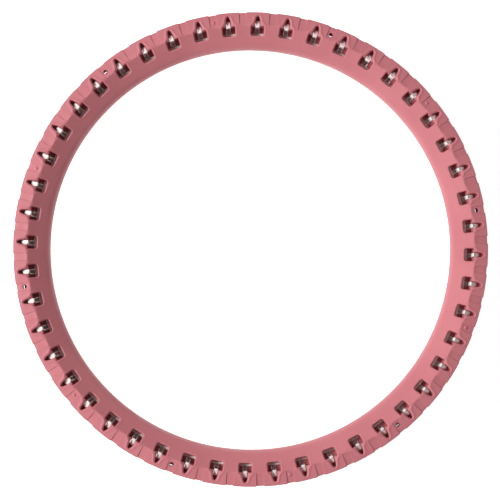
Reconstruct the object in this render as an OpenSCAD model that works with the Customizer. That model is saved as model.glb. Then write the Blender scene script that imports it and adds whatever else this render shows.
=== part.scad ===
// Needle ring of a hand-cranked circular knitting machine: a crown with T-shaped slots on a
// grooved needle cylinder, one sliding latch needle in each slot, and a drive gear underneath.
// Row frame: millimetres, +Z is the ring's axis and up, origin at the bottom centre,
// the first slot lies on +X. Needles are drawn at rest, on the rest ring at the bottom.

/* [Ring] */
// Outer diameter of the crown
crown_d = 300; // [298:1:304]
// Height of the crown's ridge over the base
ring_h = 80; // [78:1:84]
// Depth of the crown's outer skirt below the ridge
skirt_h = 22; // [20:1:24]
// Radius of the visible inner lip
lip_r = 127.6; // [126.4:0.4:129.2]

/* [Slots] */
// Width of the window inside each slot
window_w = 8; // [7:0.5:9]
// Width of the narrow part of each slot, where the needle's hook runs
slot_w = 3; // [3:0.1:3.4]
// Radius of the inner edge of each window
window_r = 135.5; // [135:0.1:135.7]
// Radius at the tip of each slot
slot_tip_r = 148; // [147.5:0.1:148.2]
// Angle of the recessed tile between two slots
tile_deg = 1.95; // [1.6:0.05:2.4]

/* [Needles] */
// Thickness of a needle, side to side
needle_t = 2.3; // [2:0.1:2.3]
// Height of a needle's tip above the tail
needle_len = 69.8; // [69.4:0.1:70.6]
// Vertical stroke of a needle, used by the two spring bands' heights
stroke = 24; // [20:1:24]

/* [Fixings] */
// Diameter of the six through holes in the crown
hole_d = 2.6; // [2.2:0.1:3]
// Diameter of the screws' shanks
screw_d = 2.8; // [2.5:0.1:3]
// Diameter of the screws' heads
head_d = 5; // [4.6:0.1:5.2]

/* [Drive gear] */
// Number of teeth
teeth = 148; // [148:148]
// Height of the smooth flange under the teeth
flange_h = 2.6; // [2.4:0.1:3]

/* [Hidden] */
$fn = 96;
count = 48;
pitch = 360 / count;
crown_r = crown_d / 2;
ridge_r = 141;              // crease between the outer band and the inner cone
bore_r = 135.8;             // running bore, in the lower part of the cylinder
bore_top = 56;
wall_in = 136.1;            // cylinder wall above the bore
wall_out = 137.8;
rib_r = 146;                // outer face of the cylinder's ribs
rim_z = ring_h - 12;        // rim of the cylinder wall, seen in the windows
seat_z = ring_h - 18;       // crown sits on the ribs here
guide_z = ring_h - 32;      // top of the walls beside each needle
pocket_z = ring_h - 16;     // floor of each window, with a groove through it for the needle
tip_floor_z = ring_h - 10;  // floor of the blind tip of each slot
groove_end = 145;
gear_h = 8;
stem_in = 138.3;            // back of a needle
stem_out = 141.1;
hook_out = 144.6;
tail_z = gear_h + 0.35;
tip_z = tail_z + needle_len;
butt_z = 18;
butt_h = 8;
coil_d = 2.4;               // spring band
coil_r = stem_out + 0.35 + coil_d / 2;
band_hi_z = butt_z + butt_h + stroke + 2.2;
band_lo_z = butt_z - 0.9 - coil_d;
groove_w = needle_t + 0.8;
screw_r = 143;
eps = 0.01;

pink = "#c97a80";
white = "#f3efe9";
grey = "#b9bcc0";

// Repeats its children round the ring: n copies, the first at angle a0
module around(n, a0 = 0) {
  for (i = [0:n - 1]) rotate([0, 0, a0 + i * 360 / n]) children();
}

// A ring of rectangular section
module band(r0, r1, z0, z1) {
  rotate_extrude() translate([r0, z0]) square([r1 - r0, z1 - z0]);
}

// A box from r0 to r1 along +X, w wide, from z0 to z1
module bar(r0, r1, w, z0, z1) {
  translate([r0, -w / 2, z0]) cube([r1 - r0, w, z1 - z0]);
}

// Plan of one slot: a window with rounded inner corners, then a narrow part with a bullet tip
module slot_plan(c = 1.2) {
  h = window_w / 2;
  n = slot_w / 2;
  union() {
    translate([window_r + c, -h]) square([ridge_r - window_r - c, window_w]);
    translate([window_r, -h + c]) square([c + eps, window_w - 2 * c]);
    for (s = [-1, 1]) translate([window_r + c, s * (h - c)]) circle(r = c);
    translate([ridge_r - eps, -n]) square([slot_tip_r - 2.6 - ridge_r, 2 * n]);
    polygon([
      [slot_tip_r - 2.7, -n], [slot_tip_r - 1.7, -n * 0.86], [slot_tip_r - 0.8, -n * 0.62],
      [slot_tip_r - 0.2, -n * 0.3], [slot_tip_r, 0], [slot_tip_r - 0.2, n * 0.3],
      [slot_tip_r - 0.8, n * 0.62], [slot_tip_r - 1.7, n * 0.86], [slot_tip_r - 2.7, n]]);
  }
}

// Plan of the raised lip round a slot, widening like a bell towards the ridge
module lip_plan() {
  n = slot_w / 2 + 0.9;
  h = window_w / 2 + 0.7;
  polygon(concat(
    [[ridge_r + 0.05, -h], [ridge_r + 1.2, -h * 0.86], [ridge_r + 2.6, -h * 0.66],
     [ridge_r + 4.2, -n], [slot_tip_r - 1.4, -n * 0.86], [slot_tip_r, -n * 0.5],
     [slot_tip_r + 0.6, 0]],
    [[slot_tip_r, n * 0.5], [slot_tip_r - 1.4, n * 0.86], [ridge_r + 4.2, n],
     [ridge_r + 2.6, h * 0.66], [ridge_r + 1.2, h * 0.86], [ridge_r + 0.05, h]]));
}

// Sloped flare from the lips down into the slot
module flare_plan() {
  n = slot_w / 2 - 0.01;
  h = window_w / 2 - 0.3;
  polygon([
    [ridge_r - 0.1, -h], [ridge_r + 1, -h * 0.8], [ridge_r + 2.2, -h * 0.56],
    [ridge_r + 3.6, -n], [ridge_r + 3.6, n], [ridge_r + 2.2, h * 0.56],
    [ridge_r + 1, h * 0.8], [ridge_r - 0.1, h]]);
}

module crown_ring() {
  top = ring_h;
  edge_z = top - 1.5;
  color(pink) difference() {
    union() {
      rotate_extrude() polygon([
        [lip_r, top - 19.5], [lip_r + 2.2, top - 19.5], [lip_r + 2.4, top - 12.6],
        [134.2, top - 9.4], [134.2, top - 17], [wall_in - 0.1, top - 17],
        [wall_in - 0.1, rim_z + 0.1], [wall_out + 0.1, rim_z + 0.1],
        [wall_out + 0.1, seat_z], [crown_r - 1.8, seat_z], [crown_r - 1.8, top - skirt_h],
        [crown_r, top - skirt_h], [crown_r, edge_z - 0.4], [crown_r - 0.5, edge_z],
        [ridge_r, top - 0.4], [ridge_r - 0.5, top - 0.4],
        [lip_r, top - 0.4 - (ridge_r - 0.5 - lip_r) * 0.875]]);
      intersection() {
        rotate_extrude() polygon([
          [ridge_r - 2, top - 4], [ridge_r - 0.4, top - 0.4], [ridge_r + 0.2, top],
          [crown_r - 1.6, top - 1.2], [crown_r - 1, top - 4]]);
        translate([0, 0, top - 4]) linear_extrude(4) for (i = [0:count - 1])
          rotate([0, 0, i * pitch]) lip_plan();
      }
    }
    // slots: a blind tip, a deeper window, and a groove right through for the needle
    translate([0, 0, tip_floor_z]) linear_extrude(top + 1 - tip_floor_z) for (i = [0:count - 1])
      rotate([0, 0, i * pitch]) slot_plan();
    translate([0, 0, pocket_z]) linear_extrude(top + 0.5 - pocket_z) for (i = [0:count - 1])
      rotate([0, 0, i * pitch]) intersection() {
        slot_plan();
        translate([120, -10]) square([groove_end - 120, 20]);
      }
    for (i = [0:count - 1]) rotate([0, 0, i * pitch])
      bar(wall_out, groove_end, slot_w, seat_z - 1, top - 9);
    // flares
    translate([0, 0, top - 1.7]) linear_extrude(2.7) for (i = [0:count - 1])
      rotate([0, 0, i * pitch]) flare_plan();
    // tiles between the slots: wedges that deepen towards the rim
    intersection() {
      rotate_extrude() polygon([
        [ridge_r + 0.3, top + 1], [ridge_r + 0.3, top - 0.5], [crown_r - 0.8, top - 2.4],
        [crown_r - 0.4, top - 3.1], [crown_r - 0.4, top - skirt_h - 1],
        [crown_r + 1, top - skirt_h - 1], [crown_r + 1, top + 1]]);
      translate([0, 0, top - skirt_h - 1]) linear_extrude(skirt_h + 2) for (i = [0:count - 1])
        rotate([0, 0, (i + 0.5) * pitch]) polygon([
          [ridge_r - 1, -(ridge_r - 1) * tan(tile_deg / 2)],
          [crown_r + 2, -(crown_r + 2) * tan(tile_deg / 2)],
          [crown_r + 2, (crown_r + 2) * tan(tile_deg / 2)],
          [ridge_r - 1, (ridge_r - 1) * tan(tile_deg / 2)]]);
    }
    // coring from below between the slots, left solid where a screw goes in
    for (i = [0:count - 1]) if (i % 8 != 5) rotate([0, 0, (i + 0.5) * pitch])
      bar(139.8, crown_r - 2.2, 7.2, top - 20, top - 6.2);
    // six through holes and six screw holes
    around(6, 11.25) translate([144.5, 0, top - 10]) cylinder(d = hole_d, h = 12);
    around(6, 41.25) translate([screw_r, 0, top - 20]) cylinder(d = screw_d + 0.1, h = 12);
  }
  // pips over the screw bosses
  color(pink) around(6, 41.25) intersection() {
    translate([144.5, 0, top - 3.2]) sphere(r = 1.7);
    translate([144.5, 0, top - 4]) cylinder(r = 1.1, h = 4);
  }
}

module needle_cylinder() {
  color(white) difference() {
    union() {
      band(bore_r, wall_out, 0, bore_top);
      band(wall_in, wall_out, bore_top - eps, rim_z);
      band(wall_out - eps, rib_r, gear_h, seat_z);
    }
    // a groove for each needle, open outwards
    for (i = [0:count - 1]) rotate([0, 0, i * pitch])
      bar(wall_out, rib_r + 1, groove_w, gear_h - 1, seat_z + 1);
    // clear of the crown's windows above the guides
    for (i = [0:count - 1]) rotate([0, 0, i * pitch])
      bar(wall_out, rib_r + 1, window_w + 1.4, guide_z, seat_z + 1);
    // hollow ribs, open outwards, with a web in the middle
    for (i = [0:count - 1]) rotate([0, 0, (i + 0.5) * pitch]) {
      bar(140.2, rib_r + 1, 9, gear_h + 12, 36);
      bar(140.2, rib_r + 1, 9, 38.5, i % 8 == 1 ? seat_z + 1 : seat_z - 4);
    }
    // circumferential grooves for the two spring bands
    band(coil_r - coil_d / 2 - 0.1, rib_r + 1, band_hi_z - coil_d / 2 - 0.3,
         band_hi_z + coil_d / 2 + 0.3);
    band(coil_r - coil_d / 2 - 0.1, rib_r + 1, band_lo_z - coil_d / 2 - 0.2,
         band_lo_z + coil_d / 2 + 0.2);
    // screws and dowels
    around(6, 41.25) translate([screw_r, 0, seat_z - 5]) cylinder(d = screw_d + 0.2, h = 6);
    around(6, 26.25) translate([screw_r, 0, gear_h - 1]) cylinder(d = screw_d + 0.1, h = 5.6);
    around(3, 56.25) translate([screw_r, 0, gear_h - 1]) cylinder(d = 2.6, h = 5);
  }
}

module drive_gear() {
  m = 2 * crown_r / (teeth + 2);          // module
  root = crown_r - 2.25 * m;
  ptch = crown_r - m;
  step = 360 / teeth;
  hole_r = wall_out + 0.1;
  color(grey) difference() {
    union() {
      band(hole_r, crown_r - 2.5, 0, flange_h);
      translate([0, 0, flange_h - eps]) linear_extrude(gear_h - flange_h + eps)
        difference() {
          polygon([for (i = [0:teeth - 1]) each [
            for (p = [[root, -0.34], [ptch, -0.25], [crown_r - 0.1, -0.12], [crown_r, 0],
                      [crown_r - 0.1, 0.12], [ptch, 0.25], [root, 0.34]])
              [p[0] * cos((i + p[1]) * step), p[0] * sin((i + p[1]) * step)]]]);
          circle(r = hole_r, $fn = 192);
        }
    }
    band(138.1, 140.9, gear_h - 1.6, gear_h + 1);
    around(6, 26.25) {
      translate([screw_r, 0, -1]) cylinder(d = screw_d + 0.2, h = gear_h + 2);
      translate([screw_r, 0, -1]) cylinder(d = head_d + 0.4, h = 3.2);
    }
    around(3, 56.25) translate([screw_r, 0, 3]) cylinder(d = 2.6, h = gear_h);
  }
}

module needle_rest_ring() {
  color("#3c3d40") band(138.2, 140.8, gear_h - 1.6, gear_h);
}

module upper_spring_band() {
  color("#c8ccd0") rotate_extrude() translate([coil_r, band_hi_z]) circle(d = coil_d);
}

module lower_spring_band() {
  color("#c8ccd0") rotate_extrude() translate([coil_r, band_lo_z]) circle(d = coil_d);
}

// Pan-head screw, head down at z = 0, shank up, with a cross recess
module screw(len) {
  difference() {
    union() {
      cylinder(d = screw_d, h = len);
      translate([0, 0, len - eps]) cylinder(d1 = screw_d, d2 = screw_d - 1.4, h = 1);
      translate([0, 0, -2]) cylinder(d = head_d, h = 2);
    }
    for (a = [0, 90]) rotate([0, 0, a]) translate([-1.4, -0.35, -2.1]) cube([2.8, 0.7, 1.1]);
  }
}

module crown_screws() {
  color("#8e9296") around(6, 41.25) translate([screw_r, 0, seat_z - 4]) screw(10);
}

module gear_screws() {
  color("#8e9296") around(6, 26.25) translate([screw_r, 0, 2.2]) screw(8.6);
}

module dowel_pins() {
  color("#d4d6d8") around(3, 56.25) translate([screw_r, 0, 3.2]) cylinder(d = 2.5, h = 8.6);
}

// Lug that trips the row counter once a turn, clipped into one rib pocket
module counter_trip() {
  color(pink) rotate([0, 0, 3.75]) difference() {
    union() {
      bar(140.25, 146.4, 8.8, 26, 35.8);
      bar(146.3, crown_r - 0.6, 6, 27.5, 34.5);
    }
    translate([crown_r - 0.6, 0, 26.5]) rotate([0, 45, 0]) cube([3, 10, 3], center = true);
    translate([crown_r - 0.6, 0, 35.5]) rotate([0, 45, 0]) cube([3, 10, 3], center = true);
  }
}

// One latch needle in the +X slot: stem, hook, butt, and a latch on a rivet in the stem's slot
module needle() {
  arm = 14.2;                       // rivet below the tip
  pz = tip_z - arm;
  pr = 141;
  color(white) rotate([90, 0, 0]) translate([0, 0, -needle_t / 2]) difference() {
    // stem with its butt, a neck set outwards, and the hook falling outwards from its crest
    linear_extrude(needle_t) polygon([
      [stem_in, tail_z + 1.2], [stem_in + 0.6, tail_z], [stem_out - 0.9, tail_z],
      [stem_out, tail_z + 2], [stem_out, butt_z], [148.9, butt_z], [149.5, butt_z + 0.8],
      [149.5, butt_z + butt_h - 1.4], [148.3, butt_z + butt_h], [stem_out, butt_z + butt_h],
      [stem_out, pz - 3.5], [142.2, pz - 2.2], [142.2, pz + 1.2], [141.7, pz + 2.7],
      [141.7, tip_z - 3.9], [142.2, tip_z - 3.25], [142.6, tip_z - 3.45], [143, tip_z - 4.2],
      [143.2, tip_z - 5], [143.3, tip_z - 6.1], [143.85, tip_z - 6.6], [144.2, tip_z - 6.4],
      [144.45, tip_z - 5.8], [hook_out, tip_z - 4.9], [144.5, tip_z - 4.1],
      [144.2, tip_z - 3.35], [143.6, tip_z - 2.55], [142.8, tip_z - 1.8], [142, tip_z - 1.1],
      [141.3, tip_z - 0.4], [140.8, tip_z], [140.4, tip_z - 0.4], [140.3, tip_z - 1],
      [140.3, tip_z - 11.5], [stem_in, tip_z - 13.2]]);
    // slot for the latch and the rivet hole
    translate([139.9, pz - 2.2, needle_t / 2 - 0.55]) cube([4, 4.9, 1.1]);
    translate([pr, pz, -1]) cylinder(d = 1.02, h = needle_t + 2, $fn = 32);
  }
  // latch, closed under the hook's end
  color(white) rotate([90, 0, 0]) union() {
    translate([0, 0, -0.45]) linear_extrude(0.9) polygon([
      [pr - 0.7, pz - 0.9], [pr + 0.4, pz - 1], [pr + 1.3, pz + 0.4], [143.2, tip_z - 9.4],
      [144.4, tip_z - 8], [144.4, tip_z - 6.9], [143, tip_z - 6.9], [142.2, tip_z - 8.2],
      [142, pz + 2.4], [pr - 0.5, pz + 1.6]]);
    translate([142.9, tip_z - 8.1, -1.05]) cube([1.5, 1.2, 2.1]);
    translate([pr, pz, -needle_t / 2 + 0.02]) cylinder(d = 1, h = needle_t - 0.04, $fn = 32);
  }
}

module needle_at(i) { rotate([0, 0, (i - 1) * pitch]) needle(); }

crown_ring();
needle_cylinder();
drive_gear();
needle_rest_ring();
upper_spring_band();
lower_spring_band();
crown_screws();
gear_screws();
dowel_pins();
counter_trip();
needle_at(1);  // needle_01
needle_at(2);  // needle_02
needle_at(3);  // needle_03
needle_at(4);  // needle_04
needle_at(5);  // needle_05
needle_at(6);  // needle_06
needle_at(7);  // needle_07
needle_at(8);  // needle_08
needle_at(9);  // needle_09
needle_at(10);  // needle_10
needle_at(11);  // needle_11
needle_at(12);  // needle_12
needle_at(13);  // needle_13
needle_at(14);  // needle_14
needle_at(15);  // needle_15
needle_at(16);  // needle_16
needle_at(17);  // needle_17
needle_at(18);  // needle_18
needle_at(19);  // needle_19
needle_at(20);  // needle_20
needle_at(21);  // needle_21
needle_at(22);  // needle_22
needle_at(23);  // needle_23
needle_at(24);  // needle_24
needle_at(25);  // needle_25
needle_at(26);  // needle_26
needle_at(27);  // needle_27
needle_at(28);  // needle_28
needle_at(29);  // needle_29
needle_at(30);  // needle_30
needle_at(31);  // needle_31
needle_at(32);  // needle_32
needle_at(33);  // needle_33
needle_at(34);  // needle_34
needle_at(35);  // needle_35
needle_at(36);  // needle_36
needle_at(37);  // needle_37
needle_at(38);  // needle_38
needle_at(39);  // needle_39
needle_at(40);  // needle_40
needle_at(41);  // needle_41
needle_at(42);  // needle_42
needle_at(43);  // needle_43
needle_at(44);  // needle_44
needle_at(45);  // needle_45
needle_at(46);  // needle_46
needle_at(47);  // needle_47
needle_at(48);  // needle_48
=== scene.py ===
"""Needle ring of a hand-cranked knitting machine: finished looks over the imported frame."""

import math

import bmesh
import bpy
from mathutils import Matrix, Vector


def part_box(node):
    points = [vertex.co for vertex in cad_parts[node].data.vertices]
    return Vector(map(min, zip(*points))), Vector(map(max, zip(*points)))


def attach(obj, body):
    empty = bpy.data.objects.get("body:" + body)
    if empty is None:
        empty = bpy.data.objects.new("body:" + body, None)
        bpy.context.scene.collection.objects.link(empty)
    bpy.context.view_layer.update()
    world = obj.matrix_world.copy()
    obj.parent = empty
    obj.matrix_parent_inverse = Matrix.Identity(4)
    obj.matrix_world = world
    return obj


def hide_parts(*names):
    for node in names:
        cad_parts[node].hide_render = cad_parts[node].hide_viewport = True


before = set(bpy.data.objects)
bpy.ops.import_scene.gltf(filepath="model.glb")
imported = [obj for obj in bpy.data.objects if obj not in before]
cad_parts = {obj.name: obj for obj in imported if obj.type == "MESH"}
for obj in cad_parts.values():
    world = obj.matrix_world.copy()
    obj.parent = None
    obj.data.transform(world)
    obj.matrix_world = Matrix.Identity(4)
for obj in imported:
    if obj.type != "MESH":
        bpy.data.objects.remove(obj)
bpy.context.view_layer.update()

MM = 0.001
NEEDLES = 48
PITCH = 360 / NEEDLES


def box_mm(node):
    """A node's lowest and highest corner, in millimetres."""
    low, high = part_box(node)
    return [v / MM for v in low], [v / MM for v in high]


# Heights and radii that the frame fixes (mm)
CROWN_LOW, CROWN_HIGH = box_mm("crown_ring")
TOP = CROWN_HIGH[2]                 # crest of the lips round the slots
CROWN_R = CROWN_HIGH[0]
SKIRT_Z = CROWN_LOW[2]
CYL_LOW, CYL_HIGH = box_mm("needle_cylinder")
RIB_R = CYL_HIGH[0]
RIM_Z = CYL_HIGH[2]
GEAR_HIGH = box_mm("drive_gear")[1]
NEEDLE_LOW, NEEDLE_HIGH = box_mm("needle_01")
BAND_LOW, BAND_HIGH = box_mm("upper_spring_band")
BAND2_LOW, BAND2_HIGH = box_mm("lower_spring_band")

RIDGE_R = 141.0                     # crease between the inner funnel and the outer band
WALL_IN, WALL_OUT = 136.1, 137.8    # the cylinder's wall
SEAT_Z = TOP - 18                   # the crown sits on the ribs here
POCKET_Z = TOP - 14                 # floor of each window
TIP_FLOOR_Z = TOP - 7.5             # floor of the blind tip of each slot
GROOVE_IN, GROOVE_END = 137.85, 145.0    # the needle's groove through the pocket's floor
FUNNEL_R = 131.0                    # where the funnel turns into its foot
EDGE_TOP_R = 149.4                  # where the outer band turns into the rim
SEAT_IN, SEAT_OUT = 134.2, 148.2    # the crown's seat on the ribs
BORE_R, BORE_TOP = 135.8, 56.0      # the wider bore below the crown's lip, and how high it reaches
SCREW_R = 143.0


# ---------------------------------------------------------------- meshes

def mesh_piece(name, verts, faces, material=None):
    """An object from points in millimetres; doubles merged and faces turned outwards."""
    mesh = bpy.data.meshes.new(name)
    mesh.from_pydata([Vector(v) * MM for v in verts], [], faces)
    piece = bpy.data.objects.new(name, mesh)
    bpy.context.scene.collection.objects.link(piece)
    tidy(piece)
    if material:
        mesh.materials.append(material)
    return piece


def tidy(piece, gap=2e-6):
    """Merges doubles, drops empty faces and turns the rest outwards."""
    work = bmesh.new()
    work.from_mesh(piece.data)
    bmesh.ops.remove_doubles(work, verts=work.verts, dist=gap)
    bmesh.ops.dissolve_degenerate(work, edges=work.edges, dist=gap / 2)
    bmesh.ops.recalc_face_normals(work, faces=work.faces)
    work.to_mesh(piece.data)
    work.free()


def smooth(piece, degrees=35):
    """Smooth shading, with edges sharper than the angle kept sharp."""
    piece.data.shade_smooth()
    piece.data.set_sharp_from_angle(angle=math.radians(degrees))


def polar(r, deg, z):
    a = math.radians(deg)
    return (r * math.cos(a), r * math.sin(a), z)


def lathe(name, profile, material, steps=288, closed=True):
    """A closed profile of (radius, height) turned round the ring's axis."""
    verts, faces = [], []
    n = len(profile)
    for i in range(steps):
        verts += [polar(r, 360 * i / steps, z) for r, z in profile]
    for i in range(steps):
        j = (i + 1) % steps
        for k in range(n if closed else n - 1):
            m = (k + 1) % n
            faces.append((i * n + k, j * n + k, j * n + m, i * n + m))
    return mesh_piece(name, verts, faces, material)


def plate(name, outline, low, high, material=None):
    """A flat outline of (x, y) made solid from z = low to z = high."""
    n = len(outline)
    verts = [(x, y, low) for x, y in outline] + [(x, y, high) for x, y in outline]
    faces = [tuple(range(n))[::-1], tuple(range(n, 2 * n))]
    faces += [(k, (k + 1) % n, (k + 1) % n + n, k + n) for k in range(n)]
    return mesh_piece(name, verts, faces, material)


def cuboid(name, x0, x1, y0, y1, z0, z1):
    return plate(name, [(x0, y0), (x1, y0), (x1, y1), (x0, y1)], z0, z1)


def plain_mesh(piece):
    """Applies a piece's modifiers, so that what is left is a plain mesh."""
    bpy.context.view_layer.update()
    graph = bpy.context.evaluated_depsgraph_get()
    mesh = bpy.data.meshes.new_from_object(piece.evaluated_get(graph), depsgraph=graph)
    piece.modifiers.clear()
    old = piece.data
    piece.data = mesh
    bpy.data.meshes.remove(old)
    return piece


def carve(piece, cutters):
    """Cuts each cutter out of the piece, and removes the cutters."""
    for cutter in cutters:
        cut = piece.modifiers.new("cut", "BOOLEAN")
        cut.operation = "DIFFERENCE"
        cut.solver = "EXACT"
        cut.object = cutter
        plain_mesh(piece)
        bpy.data.objects.remove(cutter)
    return piece


def round_edges(piece, width, steps=2, degrees=30):
    bevel = piece.modifiers.new("round", "BEVEL")
    bevel.width = width * MM
    bevel.segments = steps
    bevel.limit_method = "ANGLE"
    bevel.angle_limit = math.radians(degrees)
    bevel.harden_normals = False
    plain_mesh(piece)
    return piece


def turned_copy(piece, name, degrees):
    """A copy whose mesh is turned round the ring's axis; the object stays at the origin."""
    mesh = piece.data.copy()
    mesh.transform(Matrix.Rotation(math.radians(degrees), 4, "Z"))
    copy = bpy.data.objects.new(name, mesh)
    bpy.context.scene.collection.objects.link(copy)
    return copy


def join(name, pieces):
    """Joins pieces into one object with the first one's materials, and removes them."""
    work = bmesh.new()
    for piece in pieces:
        work.from_mesh(piece.data)
    mesh = bpy.data.meshes.new(name)
    work.to_mesh(mesh)
    work.free()
    for material in pieces[0].data.materials:
        mesh.materials.append(material)
    for piece in pieces:
        bpy.data.objects.remove(piece)
    whole = bpy.data.objects.new(name, mesh)
    bpy.context.scene.collection.objects.link(whole)
    return whole


# ---------------------------------------------------------------- node trees

def add(tree, kind, settings=None, inputs=None):
    """Adds a node: attributes from settings; values or links for its sockets from inputs."""
    node = tree.nodes.new(kind)
    for key, value in (settings or {}).items():
        setattr(node, key, value)
    for key, value in (inputs or {}).items():
        socket = node.inputs[key]
        if isinstance(value, bpy.types.NodeSocket):
            tree.links.new(value, socket)
        else:
            socket.default_value = value
    return node


def tree_input(tree, name, kind, default=None):
    socket = tree.interface.new_socket(name=name, in_out="INPUT", socket_type=kind)
    if default is not None:
        socket.default_value = default


def shaped(name, tree, values):
    """Runs a geometry tree on a new object and returns the result as a plain mesh."""
    piece = bpy.data.objects.new(name, bpy.data.meshes.new(name))
    bpy.context.scene.collection.objects.link(piece)
    modifier = piece.modifiers.new("shape", "NODES")
    modifier.node_group = tree
    for item in tree.interface.items_tree:
        if item.in_out == "INPUT" and item.name in values:
            modifier[item.identifier] = values[item.name]
    return plain_mesh(piece)


def ring_copies_tree():
    """Copies a module round the Z axis at equal steps."""
    tree = bpy.data.node_groups.new("ring_copies", "GeometryNodeTree")
    tree_input(tree, "Module", "NodeSocketObject")
    tree_input(tree, "Copies", "NodeSocketInt", 12)
    tree_input(tree, "Start", "NodeSocketFloat", 0.0)
    tree_input(tree, "Finish", "NodeSocketMaterial")
    tree.interface.new_socket(name="Geometry", in_out="OUTPUT", socket_type="NodeSocketGeometry")
    given = tree.nodes.new("NodeGroupInput")
    index = tree.nodes.new("GeometryNodeInputIndex")
    step = add(tree, "ShaderNodeMath", {"operation": "DIVIDE"},
               {0: 2 * math.pi, 1: given.outputs["Copies"]})
    turn = add(tree, "ShaderNodeMath", {"operation": "MULTIPLY_ADD"},
               {0: index.outputs[0], 1: step.outputs[0], 2: given.outputs["Start"]})
    euler = add(tree, "ShaderNodeCombineXYZ", None, {"Z": turn.outputs[0]})
    rotation = add(tree, "FunctionNodeEulerToRotation", None, {0: euler.outputs[0]})
    points = add(tree, "GeometryNodePoints", None, {"Count": given.outputs["Copies"]})
    module = add(tree, "GeometryNodeObjectInfo", None, {"Object": given.outputs["Module"]})
    copies = add(tree, "GeometryNodeInstanceOnPoints", None,
                 {"Points": points.outputs[0], "Instance": module.outputs["Geometry"],
                  "Rotation": rotation.outputs[0]})
    real = add(tree, "GeometryNodeRealizeInstances", None, {0: copies.outputs[0]})
    finish = add(tree, "GeometryNodeSetMaterial", None,
                 {"Geometry": real.outputs[0], "Material": given.outputs["Finish"]})
    out = tree.nodes.new("NodeGroupOutput")
    tree.links.new(finish.outputs[0], out.inputs[0])
    return tree


def coil_band_tree():
    """A coil spring whose own axis is a circle round the Z axis."""
    tree = bpy.data.node_groups.new("coil_band", "GeometryNodeTree")
    tree_input(tree, "Ring radius", "NodeSocketFloat", 0.14)
    tree_input(tree, "Coil radius", "NodeSocketFloat", 0.001)
    tree_input(tree, "Wire radius", "NodeSocketFloat", 0.0003)
    tree_input(tree, "Height", "NodeSocketFloat", 0.0)
    tree_input(tree, "Turns", "NodeSocketInt", 600)
    tree_input(tree, "Points a turn", "NodeSocketInt", 9)
    tree_input(tree, "Finish", "NodeSocketMaterial")
    tree.interface.new_socket(name="Geometry", in_out="OUTPUT", socket_type="NodeSocketGeometry")
    given = tree.nodes.new("NodeGroupInput")

    def calc(operation, first, second=0.0):
        node = add(tree, "ShaderNodeMath", {"operation": operation}, {0: first, 1: second})
        return node.outputs[0]

    count = calc("MULTIPLY", given.outputs["Turns"], given.outputs["Points a turn"])
    path = add(tree, "GeometryNodeCurvePrimitiveCircle", {"mode": "RADIUS"},
               {"Resolution": count, "Radius": 1.0})
    index = tree.nodes.new("GeometryNodeInputIndex")
    around = calc("MULTIPLY", calc("DIVIDE", index.outputs[0], count), 2 * math.pi)
    wound = calc("MULTIPLY", around, given.outputs["Turns"])
    reach = calc("ADD", given.outputs["Ring radius"],
                 calc("MULTIPLY", calc("COSINE", wound), given.outputs["Coil radius"]))
    place = add(tree, "ShaderNodeCombineXYZ", None, {
        "X": calc("MULTIPLY", reach, calc("COSINE", around)),
        "Y": calc("MULTIPLY", reach, calc("SINE", around)),
        "Z": calc("ADD", given.outputs["Height"],
                  calc("MULTIPLY", calc("SINE", wound), given.outputs["Coil radius"]))})
    moved = add(tree, "GeometryNodeSetPosition", None,
                {"Geometry": path.outputs[0], "Position": place.outputs[0]})
    section = add(tree, "GeometryNodeCurvePrimitiveCircle", {"mode": "RADIUS"},
                  {"Resolution": 5, "Radius": given.outputs["Wire radius"]})
    wire = add(tree, "GeometryNodeCurveToMesh", None,
               {"Curve": moved.outputs[0], "Profile Curve": section.outputs[0]})
    real = add(tree, "GeometryNodeRealizeInstances", None, {0: wire.outputs[0]})
    finish = add(tree, "GeometryNodeSetMaterial", None,
                 {"Geometry": real.outputs[0], "Material": given.outputs["Finish"]})
    out = tree.nodes.new("NodeGroupOutput")
    tree.links.new(finish.outputs[0], out.inputs[0])
    return tree


# ---------------------------------------------------------------- materials

def linear(code):
    """An sRGB hex colour as linear RGBA."""
    parts = [int(code[i:i + 2], 16) / 255 for i in (1, 3, 5)]
    return tuple(c / 12.92 if c <= 0.04045 else ((c + 0.055) / 1.055) ** 2.4
                 for c in parts) + (1.0,)


def new_material(name):
    material = bpy.data.materials.new(name)
    material.use_nodes = True
    tree = material.node_tree
    tree.nodes.clear()
    shader = tree.nodes.new("ShaderNodeBsdfPrincipled")
    out = tree.nodes.new("ShaderNodeOutputMaterial")
    tree.links.new(shader.outputs[0], out.inputs[0])
    where = tree.nodes.new("ShaderNodeTexCoord").outputs["Object"]
    return material, tree, shader, where


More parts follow.
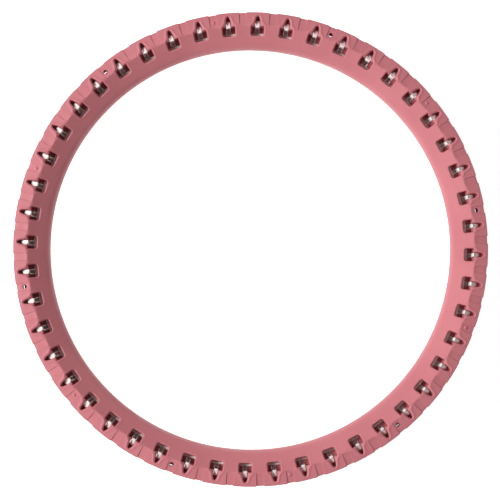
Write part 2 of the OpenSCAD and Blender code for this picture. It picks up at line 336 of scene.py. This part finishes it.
def moulded_plastic(name, colour, deep, rough, ior=1.53, grain_mm=0.35, bump=0.05, gloss=0.5):
    """Injection-moulded plastic: faint tone drift from the flow, fine tool texture, satin skin."""
    material, tree, shader, where = new_material(name)
    drift = add(tree, "ShaderNodeTexNoise", None,
                {"Vector": where, "Scale": 1 / (28 * MM), "Detail": 3.0, "Roughness": 0.55})
    tone = add(tree, "ShaderNodeMix", {"data_type": "RGBA"},
               {6: linear(colour), 7: linear(deep)})
    amount = add(tree, "ShaderNodeMapRange", None,
                 {"Value": drift.outputs[0], "From Min": 0.35, "From Max": 0.7,
                  "To Min": 0.0, "To Max": 1.0})
    tree.links.new(amount.outputs[0], tone.inputs[0])
    tree.links.new(tone.outputs[2], shader.inputs["Base Color"])
    grain = add(tree, "ShaderNodeTexNoise", None,
                {"Vector": where, "Scale": 1 / (grain_mm * MM), "Detail": 2.0})
    handled = add(tree, "ShaderNodeTexNoise", None,
                  {"Vector": where, "Scale": 1 / (9 * MM), "Detail": 4.0, "Roughness": 0.6})
    sheen = add(tree, "ShaderNodeMapRange", None,
                {"Value": handled.outputs[0], "From Min": 0.3, "From Max": 0.75,
                 "To Min": rough - 0.04, "To Max": rough + 0.06})
    tree.links.new(sheen.outputs[0], shader.inputs["Roughness"])
    relief = add(tree, "ShaderNodeBump", None,
                 {"Strength": bump, "Distance": 0.05 * MM, "Height": grain.outputs[0]})
    tree.links.new(relief.outputs[0], shader.inputs["Normal"])
    shader.inputs["IOR"].default_value = ior
    shader.inputs["Specular IOR Level"].default_value = gloss
    return material


def drawn_steel(name, colour, rough, scratch_mm=0.4):
    """Metal with fine marks from drawing or turning: bright, slightly uneven sheen."""
    material, tree, shader, where = new_material(name)
    shader.inputs["Metallic"].default_value = 1.0
    marks = add(tree, "ShaderNodeTexNoise", None,
                {"Vector": where, "Scale": 1 / (scratch_mm * MM), "Detail": 3.0})
    tint = add(tree, "ShaderNodeHueSaturation", None, {"Color": linear(colour)})
    light = add(tree, "ShaderNodeMapRange", None,
                {"Value": marks.outputs[0], "From Min": 0.3, "From Max": 0.7,
                 "To Min": 0.88, "To Max": 1.06})
    tree.links.new(light.outputs[0], tint.inputs["Value"])
    tree.links.new(tint.outputs[0], shader.inputs["Base Color"])
    uneven = add(tree, "ShaderNodeMapRange", None,
                 {"Value": marks.outputs[0], "From Min": 0.3, "From Max": 0.7,
                  "To Min": rough - 0.06, "To Max": rough + 0.08})
    tree.links.new(uneven.outputs[0], shader.inputs["Roughness"])
    return material


# Rose ABS, injection moulded in a fine-polished tool: satin gloss with an even, slightly milky pink
ROSE = moulded_plastic("rose_abs_moulded", "#c7797f", "#c1737a", rough=0.5, gloss=0.15)
# White ABS of the cylinder: warmer and a little duller than the needles
WHITE_ABS = moulded_plastic("white_abs_moulded", "#efebe4", "#e6e1d9", rough=0.42)
# White acetal of the needles: waxy, bright, softly glossy
WHITE_POM = moulded_plastic("white_acetal_needle", "#f6f2ee", "#eee9e3", rough=0.3, ior=1.48)
# Natural grey acetal of the gear: dull, self-lubricating look
GREY_POM = moulded_plastic("grey_acetal_gear", "#a9acae", "#9ea2a5", rough=0.5, ior=1.48)
# Black nitrile rubber of the rest ring: matt, no clear highlight
RUBBER = moulded_plastic("black_nitrile_rubber", "#222325", "#1b1c1e", rough=0.8, gloss=0.3)
# Spring wire, hard drawn: bright with long highlights
WIRE = drawn_steel("hard_drawn_spring_wire", "#c3c6c9", 0.28)
# Screws, bright zinc on steel: slightly blue and cloudy
ZINC = drawn_steel("bright_zinc_screw", "#b4b8bd", 0.34)
# Dowels, ground steel
GROUND = drawn_steel("ground_steel_dowel", "#c9cccf", 0.22, 0.25)


# ---------------------------------------------------------------- crown

HALF_LAND = 2.8                     # degrees each side of a slot
HALF_TILE = PITCH / 2 - HALF_LAND
FUNNEL_FALL = 11 / 12.6             # the inner band falls 11 mm over 12.6 mm
BAND_FALL = 0.13                    # fall of the outer band, per mm outwards
TILE_FALL = 0.17                    # and of the tiles
TILE_STEP = 0.35                    # the tile starts with a small step down at the ridge
BEAD = 0.32                         # height of the lip round a slot
LIP_R = CROWN_R - 22.4
PLAIN_TOP = TOP - BEAD


def soft_min(a, b, k):
    """The lower of two values, blended over k where they meet."""
    h = max(k - abs(a - b), 0) / k
    return min(a, b) - h * h * k / 4


def step_up(x, low, high):
    """0 below low, 1 above high, and a smooth rise between."""
    t = min(max((x - low) / (high - low), 0), 1)
    return t * t * (3 - 2 * t)


def land_z(r):
    """Height of the land's surface: funnel inside the ridge, nearly flat band outside it."""
    return PLAIN_TOP + soft_min(-FUNNEL_FALL * (RIDGE_R - r), -BAND_FALL * (r - RIDGE_R), 0.5)


def tile_z(r):
    """Height of a recessed tile's surface."""
    band = -TILE_FALL * (r - RIDGE_R) - TILE_STEP * step_up(r, RIDGE_R, RIDGE_R + 1.6)
    return PLAIN_TOP + soft_min(-FUNNEL_FALL * (RIDGE_R - r), band, 0.5)


def arc(cx, cy, radius, a0, a1, steps):
    angles = [math.radians(a0 + (a1 - a0) * i / steps) for i in range(steps + 1)]
    return [(cx + radius * math.cos(a), cy + radius * math.sin(a)) for a in angles]


# One side of a slot, from the window's inner corner to the tip, as (radius, half width):
# at the top face, and down in the pocket, where the flare has narrowed to the needle's groove.
CORNER = arc(136.7, 2.8, 1.2, 180, 90, 3)
SIDE_TOP = CORNER + [(138.2, 4.0), (139.6, 4.0), (140.6, 4.0), (141.0, 3.95), (141.2, 3.6),
                     (141.5, 3.1), (142.0, 2.55), (142.7, 2.1), (143.5, 1.8), (144.4, 1.6),
                     (145.2, 1.4), (146.0, 1.2), (146.6, 0.95), (147.05, 0.65), (147.32, 0.35)]
SIDE_DEEP = CORNER + [(138.2, 4.0), (139.6, 4.0), (140.6, 4.0), (141.0, 4.0), (141.0, 2.75),
                      (141.0, 1.5), (142.0, 1.5), (142.7, 1.5), (143.5, 1.5), (144.4, 1.5),
                      (145.2, 1.32), (146.0, 1.12), (146.6, 0.88), (147.05, 0.6), (147.3, 0.32)]
TIP = 147.42
# Where the same points meet the edge of the land: radii along its side, then angles along its rim
EDGE_R = [FUNNEL_R, 132.6, 134.2, 135.8, 137.4, 138.9, 140.1, 140.7, 141.0, 141.4, 142.2, 143.4,
          145.0, 147.0, EDGE_TOP_R]
EDGE_A = [2.1, 1.5, 0.95, 0.45]
HOLE_ROWS = range(10, 13)           # rows from 142.2 to 147 hold a tile's hole or pip
HOLE_R, HOLE_WIDTH, HOLE_Z = 144.5, 2.6, TOP - 8.5
HOLE_STEPS = 20
SEAT_R = [SEAT_IN + (r - FUNNEL_R) * (SEAT_OUT - SEAT_IN) / (EDGE_TOP_R - FUNNEL_R)
          for r in EDGE_R]


def both_sides(side, tip, inner):
    """Closed loop from one side: inner edge, right side, tip, left side."""
    return side + [(tip, 0.0)] + [(r, -y) for r, y in reversed(side)] + inner


def land_loop(radii, rim_r):
    """Edge of the land: along its sides at the radii given, and along its rim and inner end."""
    side = [polar(r, HALF_LAND, 0)[:2] for r in radii]
    side += [polar(rim_r, a, 0)[:2] for a in EDGE_A]
    inner = [polar(radii[0], a, 0)[:2] for a in (-HALF_LAND / 2, 0, HALF_LAND / 2)]
    return both_sides(side, rim_r, inner)


SLOT_INNER = [(135.5, y) for y in (-1.4, 0.0, 1.4)]
SLOT_TOP = both_sides(SIDE_TOP, TIP, SLOT_INNER)
SLOT_DEEP = both_sides(SIDE_DEEP, TIP - 0.03, SLOT_INNER)
# the needle's groove through the pocket's floor, point for point with the slot
GROOVE = [(min(max(x, GROOVE_IN), GROOVE_END), min(max(y, -1.5), 1.5)) for x, y in SLOT_DEEP]
LAND_EDGE = land_loop(EDGE_R, EDGE_TOP_R)
SEAT_EDGE = land_loop(SEAT_R, SEAT_OUT)


def outward(loop):
    """Unit normals of a closed loop, away from its inside."""
    normals = []
    n = len(loop)
    for k in range(n):
        (ax, ay), (bx, by) = loop[k - 1], loop[(k + 1) % n]
        dx, dy = bx - ax, by - ay
        size = math.hypot(dx, dy)
        normals.append((-dy / size, dx / size))
    cx = sum(p[0] for p in loop) / n
    k = 5
    if (loop[k][0] - cx) * normals[k][0] + loop[k][1] * normals[k][1] < 0:
        normals = [(-a, -b) for a, b in normals]
    return normals


def strips(verts, faces, loops, closed=True):
    """Adds loops of equal length and the faces between neighbouring loops."""
    base = len(verts)
    n = len(loops[0])
    for loop in loops:
        verts += loop
    for j in range(len(loops) - 1):
        for k in range(n if closed else n - 1):
            m = (k + 1) % n
            a, b = base + j * n, base + (j + 1) * n
            faces.append((a + k, a + m, b + m, b + k))


def land_module():
    """The land round one slot: its blind pockets, and the groove right through for the needle."""
    verts, faces = [], []
    normals = outward(SLOT_TOP)
    room = [math.hypot(e[0] - p[0], e[1] - p[1]) for e, p in zip(LAND_EDGE, SLOT_TOP)]

    def ring(offset, drop, rise=0.0):
        """The slot's edge, spread outwards by offset, sunk by drop and raised into the lip."""
        loop = []
        for (x, y), (nx, ny), free in zip(SLOT_TOP, normals, room):
            d = offset * min(1.0, 0.8 * free / 2.6)
            px, py = x + nx * d, y + ny * d
            r = math.hypot(px, py)
            lift = BEAD * rise * (0.3 + 0.7 * step_up(r, 140.3, 141.9))
            sink = drop * (1 - 0.72 * step_up(r, 140.6, 141.4))
            loop.append((px, py, land_z(r) - sink + lift))
        return loop

    def deep(z_of):
        return [(x, y, z_of(math.hypot(x, y))) for x, y in SLOT_DEEP]

    def floor_z(r):
        """The window's floor, and the shallower floor of the blind tip."""
        return TIP_FLOOR_Z if r > GROOVE_END else POCKET_Z

    def flare_z(r):
        """Top of the slot's walls: well down in the window, just below the surface in the flare."""
        down = 3.4 - 2.0 * step_up(r, 140.7, 141.0) - 0.95 * step_up(r, 141.2, 146.5)
        return land_z(r) - down

    groove_top = [(gx, gy, floor_z(x)) for (gx, gy), (x, y) in zip(GROOVE, SLOT_DEEP)]
    groove_low = [(gx, gy, SEAT_Z) for gx, gy in GROOVE]
    loops = [groove_low, groove_top, deep(floor_z), deep(lambda r: flare_z(r) - 0.3), deep(flare_z)]
    loops += [ring(0.0, 1.2), ring(0.1, 0.78), ring(0.34, 0.38, 0.1), ring(0.64, 0.12, 0.4),
              ring(0.92, 0.02, 0.85), ring(1.15, 0, 1.0), ring(1.42, 0, 0.75), ring(1.8, 0, 0.25),
              ring(2.3, 0, 0.03)]
    last = loops[-1]
    for t in (0.25, 0.5, 0.75, 1.0):
        loop = []
        for (x, y, z), (ex, ey) in zip(last, LAND_EDGE):
            px, py = x + (ex - x) * t, y + (ey - y) * t
            loop.append((px, py, land_z(math.hypot(px, py))))
        loops.append(loop)
    strips(verts, faces, loops)
    strips(verts, faces, [[(x, y, SEAT_Z) for x, y in SEAT_EDGE], groove_low])
    inner_angles = [-HALF_LAND, -HALF_LAND / 2, 0, HALF_LAND / 2, HALF_LAND]
    rim_angles = [-HALF_LAND] + [-a for a in EDGE_A] + [0] + EDGE_A[::-1] + [HALF_LAND]
    funnel_and_lip(verts, faces, inner_angles)
    strips(verts, faces, [[polar(r, a, z) for a in rim_angles] for r, z in skirt_profile(0)],
           closed=False)
    # the steps down to the tiles, on both sides
    for a in (-HALF_LAND, HALF_LAND):
        strips(verts, faces, [[polar(r, a, z) for r, z in skirt_profile(tile)] for tile in (0, 1)],
               closed=False)
    return mesh_piece("land_module", verts, faces)


def skirt_profile(tile):
    """Rim, skirt and its inside, down to the seat; tile = 1 gives the recessed stretch."""
    z = tile_z(EDGE_TOP_R) if tile else land_z(EDGE_TOP_R)
    r = CROWN_R - (0.4 if tile else 0.0)
    fall = 0.05 if tile else 0.12
    return [(EDGE_TOP_R, z), (EDGE_TOP_R + (r - EDGE_TOP_R) * 0.55, z - fall), (r - 0.08, z - 0.4),
            (r, z - 0.9), (r, TOP - 12), (r, SKIRT_Z + 0.5), (r - 0.15, SKIRT_Z + 0.14),
            (r - 0.5, SKIRT_Z), (148.5, SKIRT_Z), (148.25, SKIRT_Z + 0.2),
            (SEAT_OUT, SKIRT_Z + 0.6), (SEAT_OUT, SEAT_Z)]


def funnel_and_lip(verts, faces, angles):
    """The funnel's foot, the rounded inner lip and the underside back to the seat."""
    low = TOP - 19.5
    z1 = land_z(LIP_R)
    profile = [(FUNNEL_R, land_z(FUNNEL_R)), (129.9, land_z(129.9) - 0.1),
               (LIP_R + 1.5, land_z(LIP_R + 1.5) - 0.45),
               (LIP_R + 0.85, land_z(LIP_R + 0.85) - 1.0), (LIP_R + 0.35, z1 - 1.9),
               (LIP_R, z1 - 3.3), (LIP_R, low + 3.2), (LIP_R, low + 0.6),
               (LIP_R + 0.2, low + 0.15), (LIP_R + 0.7, low), (LIP_R + 1.6, low),
               (LIP_R + 2.1, low + 0.2), (LIP_R + 2.2, low + 0.7),
               (130.9, TOP - 12.8), (SEAT_IN, TOP - 9.9), (SEAT_IN, SEAT_Z)]
    strips(verts, faces, [[polar(r, a, z) for a in angles] for r, z in profile], closed=False)


def add_quad(verts, faces, quad):
    base = len(verts)
    verts += quad
    faces.append((base, base + 1, base + 2, base + 3))


def around_hole(point):
    """The ten points of a tile's grid round its hole or pip, in order."""
    first, last = HOLE_ROWS[0], HOLE_ROWS[-1] + 1
    loop = [(first, k) for k in (2, 3, 4)]
    loop += [(j, 4) for j in range(first + 1, last)]
    loop += [(last, k) for k in (4, 3, 2)]
    loop += [(j, 2) for j in range(last - 1, first, -1)]
    return [point(j, k) for j, k in loop]


def tile_module(kind):
    """The recessed tile between two slots: plain, with a through hole, or with a pip."""
    verts, faces = [], []

    def angles(r):
        inset = 0.02 + 0.15 * min(max((land_z(r) - tile_z(r)) / 1.2, 0), 1)
        return [-HALF_TILE, -HALF_TILE + inset, -0.5, 0, 0.5, HALF_TILE - inset, HALF_TILE]

    def upper(j, k):
        r = EDGE_R[j]
        return polar(r, angles(r)[k], land_z(r) if k in (0, 6) else tile_z(r))

    def under(j, k):
        return polar(SEAT_R[j], angles(EDGE_R[j])[k], SEAT_Z)

    cells = [(j, k) for j in range(len(EDGE_R) - 1) for k in range(6)]
    beside = [(j, k) for j, k in cells if j not in HOLE_ROWS or k not in (2, 3)]
    for j, k in cells if kind == "plain" else beside:
        add_quad(verts, faces, [upper(j, k), upper(j, k + 1), upper(j + 1, k + 1), upper(j + 1, k)])
    if kind != "plain":
        patch_round(verts, faces, around_hole(upper), kind)
    # underside: the seat between the slots, open under a hole
    for j, k in beside if kind == "hole" else cells:
        add_quad(verts, faces, [under(j, k), under(j + 1, k), under(j + 1, k + 1), under(j, k + 1)])
    if kind == "hole":
        low = around_hole(under)
        high = [(x, y, HOLE_Z) for x, y, z in low]
        strips(verts, faces, [low, high])
        fan_between(verts, faces, high, bore_loop(HOLE_WIDTH / 2, lambda r: HOLE_Z))
    rim = angles(EDGE_TOP_R)
    funnel_and_lip(verts, faces, angles(FUNNEL_R))
    columns = [[polar(r, a, z) for a in rim] for r, z in skirt_profile(1)]
    for end in (0, -1):             # the tile's corners meet the land's edge
        columns[0][end] = polar(EDGE_TOP_R, rim[end], land_z(EDGE_TOP_R))
    strips(verts, faces, columns, closed=False)
    return mesh_piece("tile_" + kind, verts, faces)


def bore_loop(radius, z_of):
    """Points round a tile's hole or pip, at heights from z_of(distance to the ring's axis)."""
    loop = []
    for i in range(HOLE_STEPS):
        a = math.radians(180 + 45 + 360 * i / HOLE_STEPS)
        x, y = HOLE_R + radius * math.cos(a), radius * math.sin(a)
        loop.append((x, y, z_of(math.hypot(x, y))))
    return loop


def fan_between(verts, faces, outer, inner):
    """Joins a loop of n points to one of 2n points with triangles, nearest points first."""
    n = len(outer)
    cx = sum(p[0] for p in outer) / n
    cy = sum(p[1] for p in outer) / n

    def bearing(p):
        return math.atan2(p[1] - cy, p[0] - cx)

    def turn(loop):
        (ax, ay), (bx, by) = loop[0][:2], loop[1][:2]
        return (bx - cx) * (ay - cy) - (by - cy) * (ax - cx)

    if turn(outer) * turn(inner) < 0:
        inner = inner[::-1]
    start = min(range(2 * n), key=lambda i: abs(
        math.remainder(bearing(inner[i]) - bearing(outer[0]), math.tau)))
    inner = inner[start:] + inner[:start]
    base = len(verts)
    verts += list(outer) + list(inner)
    for k in range(n):
        m = (k + 1) % n
        a, b, c = base + n + 2 * k, base + n + 2 * k + 1, base + n + (2 * k + 2) % (2 * n)
        faces += [(base + k, a, b), (base + k, b, base + m), (base + m, b, c)]


def patch_round(verts, faces, patch, kind):
    """Fills the patch with a through hole's edge and wall, or with a domed pip."""
    hole = kind == "hole"
    first = bore_loop(1.5 if hole else 1.2, tile_z)
    fan_between(verts, faces, patch, first)
    inner = ((1.36, -0.06), (1.3, -0.25)) if hole else ((1.08, 0.22), (0.82, 0.45), (0.4, 0.58))
    rings = [first] + [bore_loop(radius, lambda r: tile_z(r) + rise) for radius, rise in inner]
    if hole:
        rings.append(bore_loop(HOLE_WIDTH / 2, lambda r: HOLE_Z))
    strips(verts, faces, rings)
    if not hole:
        pole = len(verts)
        last = pole - HOLE_STEPS
        verts.append((HOLE_R, 0, tile_z(HOLE_R) + 0.62))
        faces.extend((last + i, last + (i + 1) % HOLE_STEPS, pole) for i in range(HOLE_STEPS))


COPIES = ring_copies_tree()


def copies_round(name, module, count, start, finish):
    return shaped(name, COPIES, {"Module": module, "Copies": count, "Start": math.radians(start),
                                 "Finish": finish})


def make_crown():
    land = land_module()
    tiles = {kind: tile_module(kind) for kind in ("plain", "hole", "pip")}
    parts = [copies_round("lands", land, NEEDLES, 0.0, ROSE)]
    # every eighth tile has a hole, and every eighth, half-way between, a pip
    for j in range(8):
        kind = {1: "hole", 5: "pip"}.get(j, "plain")
        parts.append(copies_round("tiles", tiles[kind], NEEDLES // 8, (j + 0.5) * PITCH, ROSE))
    crown = join("crown", parts)
    tidy(crown, gap=4e-6)
    smooth(crown, 38)
    for piece in (land, *tiles.values()):
        bpy.data.objects.remove(piece)
    return crown


crown = make_crown()
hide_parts("crown_ring")
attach(crown, "ring")


# ---------------------------------------------------------------- needle cylinder

def make_cylinder():
    """A thin wall and a hollow rib between every two needles."""
    groove = 1.55                   # half width of a needle's groove
    half = PITCH / 2
    base = GEAR_HIGH[2]
    sweep = (-half, -half / 2, 0, half / 2, half)
    outer = [polar(RIB_R, a, 0)[:2] for a in sweep]
    inner = [polar(137.75, a, 0)[:2] for a in reversed(sweep)]    # just inside the wall
    rib = plate("rib_module", outer + inner, base, SEAT_Z)
    cutters = [cuboid("cut", 140.2, 150, -4.5, 4.5, base + 12, 36),
               cuboid("cut", 140.2, 150, -4.5, 4.5, 38.5, SEAT_Z - 4)]
    for side in (-1, 1):
        for wide, low in ((groove, base - 5), (4.7, TOP - 32)):
            slab = cuboid("cut", 130, 150, -wide, wide, low, SEAT_Z + 5)
            slab.data.transform(Matrix.Rotation(math.radians(side * half), 4, "Z"))
            cutters.append(slab)
    for low, high in ((BAND_LOW, BAND_HIGH), (BAND2_LOW, BAND2_HIGH)):
        ring = [(141.35, -9.5), (141.65, 0), (141.35, 9.5), (150, 9.5), (150, -9.5)]
        cutters.append(plate("cut", ring, low[2] - 0.25, high[2] + 0.25))
    carve(rib, cutters)
    tidy(rib)
    round_edges(rib, 0.28)
    ribs = copies_round("ribs", rib, NEEDLES, half, WHITE_ABS)
    bpy.data.objects.remove(rib)
    r0, r1, z0, z1 = WALL_IN, WALL_OUT, CYL_LOW[2], RIM_Z
    c = 0.35                        # rounding of the wall's edges
    wall = lathe("wall", [(BORE_R + c, z0), (r1 - c, z0), (r1, z0 + c), (r1, 30), (r1, z1 - c),
                          (r1 - c * 0.3, z1 - c * 0.3), (r1 - c, z1), (r0 + c, z1),
                          (r0 + c * 0.3, z1 - c * 0.3), (r0, z1 - c), (r0, BORE_TOP),
                          (BORE_R + 0.1, BORE_TOP), (BORE_R, BORE_TOP - 0.1), (BORE_R, 28),
                          (BORE_R, z0 + c)], WHITE_ABS)
    whole = join("cylinder", [wall, ribs])
    smooth(whole, 40)
    return whole


cylinder = make_cylinder()
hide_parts("needle_cylinder")
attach(cylinder, "ring")


# ---------------------------------------------------------------- drive gear

def make_gear():
    teeth = 148
    top, flange = GEAR_HIGH[2], 2.6
    tip_r = GEAR_HIGH[0]
    root_r = tip_r - 4.5
    bore = WALL_OUT + 0.1
    body = lathe("gear_body", [
        (bore + 0.3, 0), (147.1, 0), (147.5, 0.4), (147.5, flange - 0.3), (147.2, flange),
        (root_r + 0.15, flange), (root_r, flange + 0.15), (root_r, top - 0.3), (root_r - 0.3, top),
        (140.9, top), (140.9, top - 1.6), (138.1, top - 1.6), (138.1, top), (bore + 0.1, top),
        (bore, top - 0.3), (bore, 0.3)], GREY_POM)
    step = math.radians(360 / teeth)
    # one flank of a tooth, as (radius, part of the pitch)
    flank = [(root_r - 0.3, -0.37), (root_r + 0.5, -0.31), (tip_r - 2, -0.25),
             (tip_r - 0.9, -0.185), (tip_r - 0.02, -0.12)]
    side = [(r * math.cos(t * step), r * math.sin(t * step)) for r, t in flank]
    tooth = plate("tooth_module", side + [(tip_r, 0)] + [(x, -y) for x, y in reversed(side)],
                  flange - 0.2, top)
    round_edges(tooth, 0.18, 1, 40)
    around = copies_round("teeth", tooth, teeth, 0.0, GREY_POM)
    bpy.data.objects.remove(tooth)
    whole = join("gear", [body, around])
    smooth(whole, 35)
    return whole


gear = make_gear()
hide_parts("drive_gear")
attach(gear, "ring")


# ---------------------------------------------------------------- spring bands

COIL = coil_band_tree()


def spring_band(name, node, low, high):
    """Closed coil spring laid round the needles; the pitch is opened a little so the turns show."""
    wire = 0.35
    coil = (high[2] - low[2]) / 2 - wire
    band = shaped(name, COIL, {
        "Ring radius": (high[0] - (high[2] - low[2]) / 2) * MM, "Coil radius": coil * MM,
        "Wire radius": wire * MM, "Height": (high[2] + low[2]) / 2 * MM, "Turns": 600,
        "Points a turn": 9, "Finish": WIRE})
    tidy(band)
    band.data.shade_smooth()
    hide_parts(node)
    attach(band, "ring")
    return band


spring_band("upper_band", "upper_spring_band", BAND_LOW, BAND_HIGH)
spring_band("lower_band", "lower_spring_band", BAND2_LOW, BAND2_HIGH)


# ---------------------------------------------------------------- needles

def make_needle():
    """Latch needle in the +X slot: flat moulded stem, hooked tip, butt, and a closed latch."""
    tail, tip = NEEDLE_LOW[2], NEEDLE_HIGH[2]
    back, front, hook = NEEDLE_LOW[0], 141.1, 144.85
    butt = 18.0
    thick = 1.15
    pivot, pin_r = tip - 14.2, 141.0
    outline = [(back, tail + 1.2), (back + 0.6, tail), (front - 0.9, tail), (front, tail + 2),
               (front, butt), (148.9, butt), (149.5, butt + 0.8), (149.5, butt + 6.6),
               (148.3, butt + 8), (front, butt + 8), (front, pivot - 3.5), (142.2, pivot - 2.2),
               (142.2, pivot + 1.2), (141.7, pivot + 2.7)]
    # inside of the hook, its turned-in end, then the outside back over the crest, down the neck
    # and out to the stem's back
    outline += [(r, tip - drop) for r, drop in (
        (141.7, 3.9), (141.85, 3.35), (142.2, 3.05), (142.6, 3.1), (142.95, 3.55), (143.2, 4.2),
        (143.3, 5.2), (143.5, 5.7), (143.85, 5.85), (144.4, 5.6), (144.7, 5.0), (hook, 4.2),
        (144.75, 3.4), (144.4, 2.75), (143.6, 2.05), (142.8, 1.5), (142.0, 0.95), (141.4, 0.45),
        (141.1, 0.15), (140.8, 0.0), (140.5, 0.15), (140.32, 0.6), (140.3, 11.5), (back, 13.2))]
    stem = plate("needle_stem", outline, -thick, thick)
    latch_slot = plate("cut", [(139.9, pivot - 2.2), (143.5, pivot - 2.2), (143.5, pivot + 2.7),
                               (139.9, pivot + 2.7)], -0.55, 0.55)
    carve(stem, [latch_slot])
    tidy(stem)
    round_edges(stem, 0.35, 3, 40)
    latch = plate("latch", [
        (pin_r - 0.7, pivot - 0.9), (pin_r + 0.4, pivot - 1), (pin_r + 1.3, pivot + 0.4),
        (143.2, tip - 9.4), (144.4, tip - 8.0), (144.4, tip - 6.95), (143.0, tip - 6.95),
        (142.2, tip - 8.2), (142.0, pivot + 2.4), (pin_r - 0.5, pivot + 1.6)], -0.45, 0.45)
    round_edges(latch, 0.16, 2, 30)
    spoon = plate("spoon", [(142.95, tip - 8.15), (144.35, tip - 8.15), (144.35, tip - 6.95),
                            (142.95, tip - 6.95)], -1.05, 1.05)
    round_edges(spoon, 0.3, 2, 30)
    rivet = plate("rivet", arc(pin_r, pivot, 0.62, 0, 337.5, 15), -thick, thick)
    round_edges(rivet, 0.1, 1, 40)
    needle = join("needle_pattern", [stem, latch, spoon, rivet])
    needle.data.transform(Matrix.Rotation(math.radians(90), 4, "X"))
    needle.data.materials.clear()
    needle.data.materials.append(WHITE_POM)
    smooth(needle, 45)
    return needle


pattern = make_needle()
for number in range(NEEDLES):
    node = f"needle_{number + 1:02d}"
    piece = turned_copy(pattern, "latch_" + node, number * PITCH)
    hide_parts(node)
    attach(piece, node)
bpy.data.objects.remove(pattern)


# ---------------------------------------------------------------- fixings and small pieces

def make_screw(shank_len):
    """Pan-head self-tapping screw, head down at z = -2 to 0, cross recess, tapered point."""
    steps = 24
    r, h = 1.4, 2.5
    profile = [(0.0, -2.0), (1.3, -2.0), (2.0, -1.85), (2.4, -1.4), (h, -0.6), (h, 0.0), (r, 0.0),
               (r, shank_len), (0.7, shank_len + 1), (0.0, shank_len + 1)]
    verts, faces = [], []
    for i in range(steps):
        verts += [polar(pr, 360 * i / steps, pz) for pr, pz in profile]
    n = len(profile)
    for i in range(steps):
        j = (i + 1) % steps
        faces += [(i * n + k, j * n + k, j * n + k + 1, i * n + k + 1) for k in range(n - 1)]
    screw = mesh_piece("screw_module", verts, faces)
    carve(screw, [cuboid("cut", -1.4, 1.4, -0.35, 0.35, -3, -1),
                  cuboid("cut", -0.35, 0.35, -1.4, 1.4, -3, -1)])
    tidy(screw)
    return screw


def screw_set(name, node, length, start):
    low, high = box_mm(node)
    screw = make_screw(length)
    screw.data.transform(Matrix.Translation((SCREW_R * MM, 0, (low[2] + 2) * MM)))
    screws = copies_round(name, screw, 6, start, ZINC)
    bpy.data.objects.remove(screw)
    smooth(screws, 35)
    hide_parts(node)
    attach(screws, "ring")


screw_set("crown_screw_set", "crown_screws", 10, 41.25)
screw_set("gear_screw_set", "gear_screws", 8.6, 26.25)

trip_low, trip_high = box_mm("counter_trip")
trip = cuboid("trip", 140.25, 146.4, -4.4, 4.4, trip_low[2], trip_high[2])
lug = plate("lug", [(146.2, -3), (148.6, -3), (149.35, -2.2), (149.35, 2.2), (148.6, 3),
                    (146.2, 3)], trip_low[2] + 1.5, trip_high[2] - 1.3)
round_edges(trip, 0.4)
round_edges(lug, 0.5, 3)
trip = join("counter_lug", [trip, lug])
trip.data.transform(Matrix.Rotation(math.radians(PITCH / 2), 4, "Z"))
trip.data.materials.clear()
trip.data.materials.append(ROSE)
smooth(trip)
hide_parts("counter_trip")
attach(trip, "ring")

for node, material in (("needle_rest_ring", RUBBER), ("dowel_pins", GROUND)):
    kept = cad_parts[node]
    kept.data.materials.clear()
    kept.data.materials.append(material)


# ---------------------------------------------------------------- stage, light and camera

def floor():
    mesh = bpy.data.meshes.new("floor")
    mesh.from_pydata([(-4, -4, 0), (4, -4, 0), (4, 4, 0), (-4, 4, 0)], [], [(0, 1, 2, 3)])
    plane = bpy.data.objects.new("floor", mesh)
    bpy.context.scene.collection.objects.link(plane)
    material, tree, shader, where = new_material("white_paper_sweep")
    shader.inputs["Base Color"].default_value = linear("#fbfbfb")
    shader.inputs["Roughness"].default_value = 0.9
    shader.inputs["Emission Color"].default_value = linear("#ffffff")
    shader.inputs["Emission Strength"].default_value = 0.75
    mesh.materials.append(material)


def softbox(name, place, size, power, colour="#ffffff"):
    light = bpy.data.lights.new(name, "AREA")
    light.shape = "DISK"
    light.size = size
    light.energy = power
    light.color = linear(colour)[:3]
    lamp = bpy.data.objects.new(name, light)
    lamp.location = place
    aim = Vector((0, 0, TOP * MM)) - Vector(place)
    lamp.rotation_euler = aim.to_track_quat("-Z", "Y").to_euler()
    bpy.context.scene.collection.objects.link(lamp)
    return lamp


floor()
world = bpy.data.worlds.new("studio")
world.use_nodes = True
world.node_tree.nodes["Background"].inputs["Color"].default_value = linear("#fdfcff")
world.node_tree.nodes["Background"].inputs["Strength"].default_value = 0.24
bpy.context.scene.world = world
softbox("key", (-1.44, 0.14, 1.74), 0.8, 50)
softbox("low", (-1.9, -1.6, 0.45), 0.7, 9)

scene = bpy.context.scene
scene.view_settings.view_transform = "Standard"

HEIGHT = 1.25                       # camera above the crown, in metres
aim = Vector((0.0176, 0.0049, TOP * MM))
place = Vector((-0.0290, -0.0454, TOP * MM + HEIGHT))
data = bpy.data.cameras.new("above")
data.sensor_width = 36
data.lens = 142.98
data.shift_x = -0.0596
data.shift_y = -0.0175
camera = bpy.data.objects.new("above", data)
scene.collection.objects.link(camera)
scene.camera = camera
# upright picture: +Y up, turned a little about the ring's axis
CAMERA_TURN = math.radians(-1.57)
up = Vector((math.sin(CAMERA_TURN), math.cos(CAMERA_TURN), 0))
back = (place - aim).normalized()
right = up.cross(back).normalized()
true_up = back.cross(right)
camera.matrix_world = Matrix((
    (right.x, true_up.x, back.x, place.x),
    (right.y, true_up.y, back.y, place.y),
    (right.z, true_up.z, back.z, place.z),
    (0, 0, 0, 1)))
